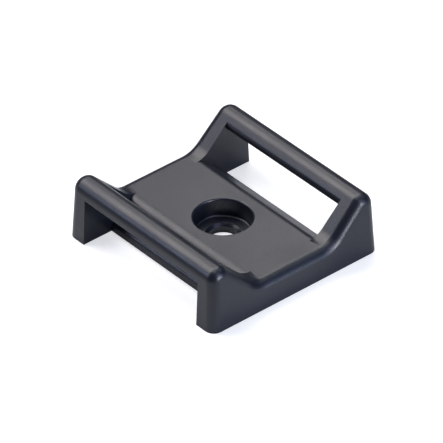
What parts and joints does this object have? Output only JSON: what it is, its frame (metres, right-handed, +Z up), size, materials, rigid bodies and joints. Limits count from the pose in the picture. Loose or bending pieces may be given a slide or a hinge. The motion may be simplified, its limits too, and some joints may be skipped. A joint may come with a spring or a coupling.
{
  "type": "cable tie mount",
  "caption": "Screw-on cradle mount for a cable bundle: a saddle between round-topped bars that a strap passes under, with a recessed screw hole.",
  "frame": {"origin": "on the screw hole's axis, in the flat bottom face", "axes": "+X along the strap bars, in the direction that the cable bundle runs; +Y across the bars, the way the strap runs; +Z up from the mounting surface"},
  "size_m": [0.0308, 0.03, 0.0096],
  "materials": {
    "black_nylon": "satin moulded nylon"
  },
  "bodies": {
    "root": {"tie_mount": "black_nylon"}
  },
  "joints": []
}
